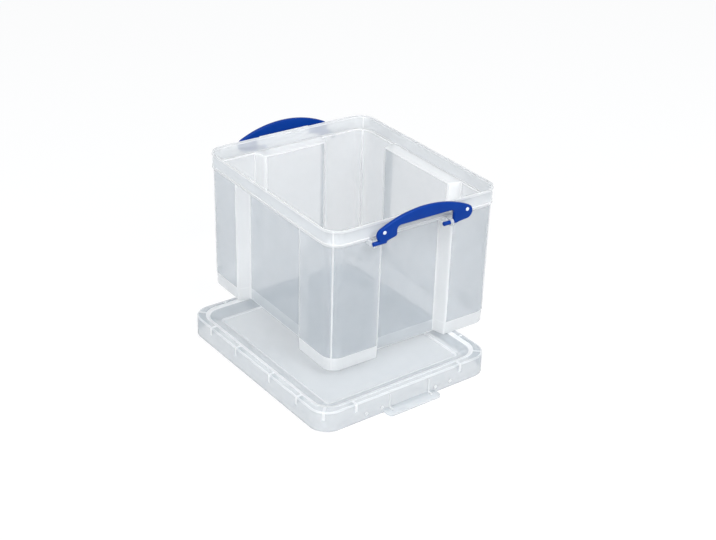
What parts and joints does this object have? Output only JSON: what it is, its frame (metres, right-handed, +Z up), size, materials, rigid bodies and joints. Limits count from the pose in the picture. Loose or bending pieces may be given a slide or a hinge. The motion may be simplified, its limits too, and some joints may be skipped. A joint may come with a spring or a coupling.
{
  "type": "storage box",
  "caption": "Clear lidded storage box, open: a tub with recessed walls and swinging handles stands on its own lid.",
  "frame": {"origin": "on the floor under the middle of the whole, with the lid lying on the floor and the tub standing on it", "axes": "+Z up, +X along the tub towards its front handle, Y across the tub"},
  "size_m": [0.5894, 0.4766, 0.347],
  "materials": {
    "clear_plastic": "translucent gloss",
    "blue_plastic": "gloss"
  },
  "bodies": {
    "lid": {"lid": "clear_plastic"},
    "tub": {"tub": "clear_plastic"},
    "front_handle": {"front_handle": "blue_plastic"},
    "rear_handle": {"rear_handle": "blue_plastic"}
  },
  "joints": [
    {"name": "tub_lift", "type": "slide", "parent": "lid", "child": "tub", "axis": [0, 0, 1], "range_m": [0, 0.15]},
    {"name": "front_handle_swing", "type": "hinge", "parent": "tub", "child": "front_handle", "pos_m": [0.19036, 0.04764, 0.298], "axis": [0, 1, 0], "range_deg": [-22, 190]},
    {"name": "rear_handle_swing", "type": "hinge", "parent": "tub", "child": "rear_handle", "pos_m": [-0.28824, 0.04764, 0.298], "axis": [0, -1, 0], "range_deg": [-22, 190]}
  ]
}
